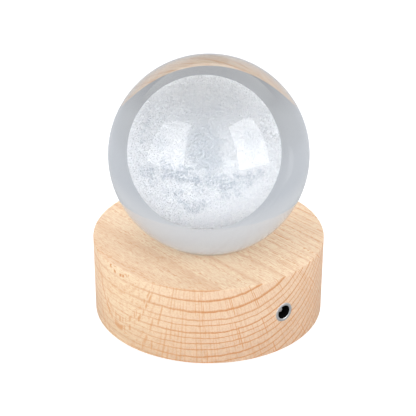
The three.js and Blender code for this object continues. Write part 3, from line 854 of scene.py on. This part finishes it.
flecks = ramp(moon_tree, noise(moon_tree, outwards, fleck_waves, 5.0, 0.85), *fleck_range)
flecked_depth = maths(
    moon_tree, "MAXIMUM", depth_of(moon_tree, ragged, flecked_seas), ground_flecks
)
flecked = maths(moon_tree, "MULTIPLY", flecked_depth, flecks)
sea_depth = maths(moon_tree, "MAXIMUM", depth_of(moon_tree, ragged, broad_seas), flecked)
share = ramp(moon_tree, sea_depth, 0.0, 1.0, 1.0, given["Sea density"])
spots = put(moon_tree, "GeometryNodeDistributePointsOnFaces", {
    "Mesh": shell.outputs["Mesh"],
    "Density": maths(moon_tree, "MULTIPLY", given["Density"], share),
    "Seed": given["Seed"],
}, distribute_method="RANDOM")
shaded_spots = put(moon_tree, "GeometryNodeStoreNamedAttribute", {
    "Geometry": spots.outputs["Points"], "Name": "sea", "Value": sea_depth,
}, data_type="FLOAT", domain="POINT")


def chance(tree, seed, low, high, kind="FLOAT"):
    """A random value for each crack, from a fixed seed."""
    made = put(tree, "FunctionNodeRandomValue", {"Seed": seed}, data_type=kind)
    for socket, value in zip([s for s in made.inputs if s.enabled], (low, high)):
        socket.default_value = value
    return next(s for s in made.outputs if s.enabled)


seed_steps = [maths(moon_tree, "ADD", given["Seed"], float(step)) for step in (1, 2, 3)]
sunk = put(moon_tree, "GeometryNodeSetPosition", {
    "Geometry": shaded_spots.outputs[0],
    "Offset": put(moon_tree, "ShaderNodeVectorMath", {
        0: outwards,
        "Scale": maths(
            moon_tree, "MULTIPLY", chance(moon_tree, seed_steps[0], -0.5, 0.5), given["Depth"]
        ),
    }, operation="SCALE").outputs[0],
})
crack = put(moon_tree, "GeometryNodeMeshCircle", {
    "Vertices": 3, "Radius": given["Crack size"],
}, fill_type="NGON")
cracks = put(moon_tree, "GeometryNodeInstanceOnPoints", {
    "Points": sunk.outputs[0], "Instance": crack.outputs["Mesh"],
    "Rotation": chance(
        moon_tree, seed_steps[1], (0.0, 0.0, 0.0), (2 * math.pi,) * 3, "FLOAT_VECTOR"
    ),
    "Scale": chance(moon_tree, seed_steps[2], *crack_sizes),
})
finish_tree(moon_tree, cracks.outputs[0], given["Material"])

for name, (radius, thickness, seed) in moon_layers.items():
    moon = mesh_object(name, [(0.0, 0.0, 0.0)], [])
    shape_by(moon, moon_tree, {
        "Radius": radius * MM, "Depth": thickness * MM, "Crack size": crack_size * MM,
        "Density": crack_density / MM ** 2, "Sea density": sea_density, "Seed": seed,
        "Material": frost,
    })
    apply_modifiers(moon).transform(Matrix.Translation(moon_middle * MM))
    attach(moon, "ball")
    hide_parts("engraved_moon")


# Light window: a disc of opal acrylic in its recess under the ball.
# It closes the light well and spreads the light of the LEDs below it.
def moulded(name, colour, second, scale, roughness, grain=0.02, metallic=0.0, **sockets):
    """A material whose tone and roughness vary a little, with a fine surface grain."""
    material, tree = blank_material(name)
    where = put(tree, "ShaderNodeTexCoord").outputs["Object"]
    cloud = noise(tree, where, scale, 3.0)
    fine = noise(tree, where, scale * 12.0, 2.0)
    rub = ramp(tree, cloud, 0.3, 0.7, roughness * 0.85, roughness * 1.15)
    bump = put(tree, "ShaderNodeBump", {"Height": fine, "Strength": 0.3, "Distance": grain * MM})
    show(tree, put(tree, "ShaderNodeBsdfPrincipled", {
        "Base Color": paint(tree, [(0.35, colour), (0.65, second)], cloud),
        "Roughness": rub, "Metallic": metallic, "Normal": bump.outputs[0], **sockets,
    }))
    return material


def coat(finishes):
    """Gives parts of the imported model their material, by the part's name."""
    for node, finish in finishes.items():
        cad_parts[node].data.materials.clear()
        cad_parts[node].data.materials.append(finish)


opal = moulded("opal acrylic", (0.86, 0.87, 0.86, 1), (0.82, 0.84, 0.84, 1), 90.0, 0.5)
coat({"light_window": opal})


# LED board: a white circuit board with six LEDs on top and two resistors below,
# held against the wood by three pan-head screws.
board_white = moulded("board lacquer", (0.82, 0.84, 0.80, 1), (0.78, 0.80, 0.77, 1), 120.0, 0.4)
led_cream = moulded("LED package", (0.90, 0.86, 0.66, 1), (0.86, 0.82, 0.60, 1), 300.0, 0.4)
chip_black = moulded("resistor chip", (0.02, 0.02, 0.022, 1), (0.03, 0.03, 0.03, 1), 400.0, 0.5)
screw_steel = moulded(
    "screw steel", (0.45, 0.45, 0.46, 1), (0.52, 0.52, 0.53, 1), 500.0, 0.3, metallic=1.0
)
coat({
    "led_board": board_white,
    **{f"led_{i}": led_cream for i in range(1, 7)},
    **{f"resistor_{i}": chip_black for i in range(1, 3)},
    **{f"board_screw_{i}": screw_steel for i in range(1, 4)},
})


# Power jack: a turned, nickel-plated barrel set into the side of the base, with a black
# insulator behind it, a centre pin, and a springy brass leaf for the plug's sleeve.
bore_radius = 2.78
barrel_radius = 4.0
flange_radius = 5.5
flange_thickness = 1.8
barrel_edge_round = 0.18
barrel_bore_round = 0.3
pin_radius = 1.0
pin_setback = 2.0
pin_tip_round = 0.35
pin_tail = -22.5
nickel_tones = (0.70, 0.69, 0.67, 1), (0.75, 0.74, 0.72, 1)
# near-black for the inside of the bore: painted shade for its deep, shadowed wall
bore_shade_blacks = (0.003, 0.003, 0.003, 1), (0.006, 0.006, 0.006, 1)

nickel = moulded("nickel plate", *nickel_tones, 240.0, 0.38, grain=0.004, metallic=1.0)
bore_painted_shade = moulded("bore painted shade", *bore_shade_blacks, 240.0, 0.8, **{"Specular IOR Level": 0.1})
barrel_back = -barrel_length - flange_thickness
barrel = turned("jack_barrel", [
    (bore_radius, barrel_back),
    (flange_radius, barrel_back),
    (flange_radius, -barrel_length),
    (barrel_radius, -barrel_length),
    *arc(barrel_radius - barrel_edge_round, -barrel_edge_round, barrel_edge_round, 0, 90, 4),
    *arc(bore_radius + barrel_bore_round, -barrel_bore_round, barrel_bore_round, 90, 180, 5),
    (bore_radius, barrel_back),
], nickel, jack_place)
# The nickel barrel's bore is coloured near-black: painted shade for the shadowed inside of the
# barrel.
barrel.data.materials.append(bore_painted_shade)
just_past_bore = bore_radius + 0.05
for face in barrel.data.polygons:
    in_jack = jack_place.inverted() @ (face.center / MM)
    if in_jack.xy.length < just_past_bore:
        face.material_index = barrel.data.materials.find("bore painted shade")
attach(barrel, "base")
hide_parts("jack_bushing")

pin = turned("centre_pin", [
    (0.0, pin_tail), (pin_radius, pin_tail),
    *arc(pin_radius - pin_tip_round, -pin_setback - pin_tip_round, pin_tip_round, 0, 90, 5),
    (0.0, -pin_setback),
], nickel, jack_place, steps=48)
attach(pin, "base")
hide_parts("jack_pin")

insulator = moulded(
    "jack insulator", (0.006, 0.006, 0.006, 1), (0.010, 0.010, 0.010, 1), 300.0, 0.6,
    **{"Specular IOR Level": 0.2},
)
brass = moulded(
    "contact brass", (0.62, 0.43, 0.16, 1), (0.68, 0.48, 0.20, 1), 400.0, 0.3, metallic=1.0
)
red_lead = moulded("red lead", (0.45, 0.02, 0.015, 1), (0.50, 0.03, 0.02, 1), 300.0, 0.4)
black_lead = moulded("black lead", (0.012, 0.012, 0.012, 1), (0.02, 0.02, 0.02, 1), 300.0, 0.4)
coat({
    "jack_housing": insulator, "sleeve_leaf": brass, "sleeve_tag": brass,
    "wire_red": red_lead, "wire_black": black_lead,
})


# Bottom cover: a moulded disc in the underside, held by three countersunk screws,
# with four rubber feet stuck to it.
cover_black = moulded(
    "cover plastic", (0.014, 0.014, 0.015, 1), (0.022, 0.022, 0.023, 1), 200.0, 0.5
)
rubber = moulded("foot rubber", (0.025, 0.025, 0.026, 1), (0.035, 0.035, 0.035, 1), 250.0, 0.8)
coat({
    "bottom_cover": cover_black,
    **{f"cover_screw_{i}": screw_steel for i in range(1, 4)},
    **{f"foot_{i}": rubber for i in range(1, 5)},
})
